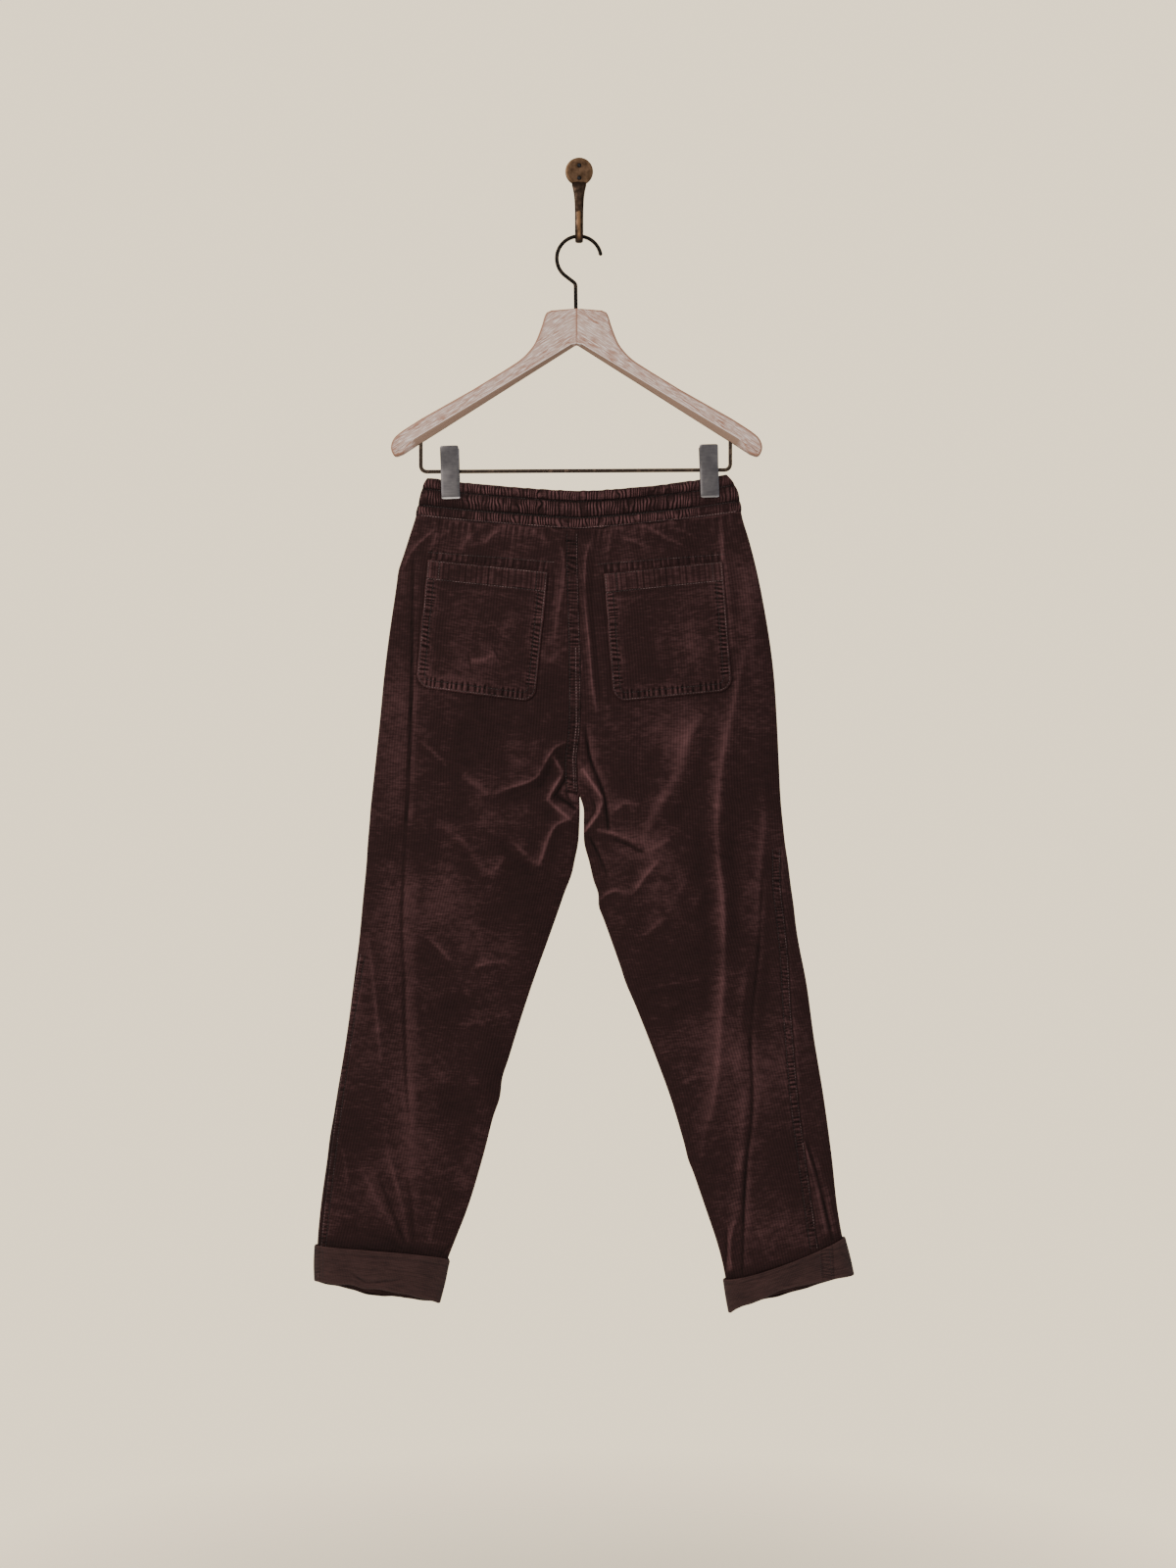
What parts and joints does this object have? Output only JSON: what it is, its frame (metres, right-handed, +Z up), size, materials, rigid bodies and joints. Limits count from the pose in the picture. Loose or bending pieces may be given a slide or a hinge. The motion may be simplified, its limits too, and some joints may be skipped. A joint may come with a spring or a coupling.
{
  "type": "joggers on a clip hanger and wall hook",
  "caption": "Dark needlecord joggers hung flat by the gathered waistband from a wooden clip hanger on a wall hook, with patch pockets and turned-up hems.",
  "frame": {"origin": "centre of the wall hook's round plate, on its back face, where it lies on the wall", "axes": "+X to the right as seen from the room, +Y into the wall, +Z up; the garment's back faces -Y"},
  "size_m": [0.6462, 0.0416, 1.3865],
  "materials": {
    "cord_cloth": "napped",
    "cord_wrong_side": "matte",
    "limed_wood": "limed",
    "black_wire": "satin",
    "gunmetal": "satin",
    "aged_brass": "aged"
  },
  "bodies": {
    "root": {"back_left": "cord_cloth", "back_right": "cord_cloth", "clip_left_back": "gunmetal", "clip_left_front": "gunmetal", "clip_left_sleeve": "gunmetal", "clip_right_back": "gunmetal", "clip_right_front": "gunmetal", "clip_right_sleeve": "gunmetal", "cuff_left_back": "cord_wrong_side", "cuff_left_front": "cord_wrong_side", "cuff_right_back": "cord_wrong_side", "cuff_right_front": "cord_wrong_side", "front_left": "cord_cloth", "front_right": "cord_cloth", "hanger_bar": "black_wire", "hanger_hook": "black_wire", "hanger_wood_left": "limed_wood", "hanger_wood_right": "limed_wood", "pocket_left": "cord_cloth", "pocket_right": "cord_cloth", "screw_lower": "aged_brass", "screw_upper": "aged_brass", "waistband_back": "cord_cloth", "waistband_front": "cord_cloth", "wall_hook": "aged_brass"}
  },
  "joints": []
}
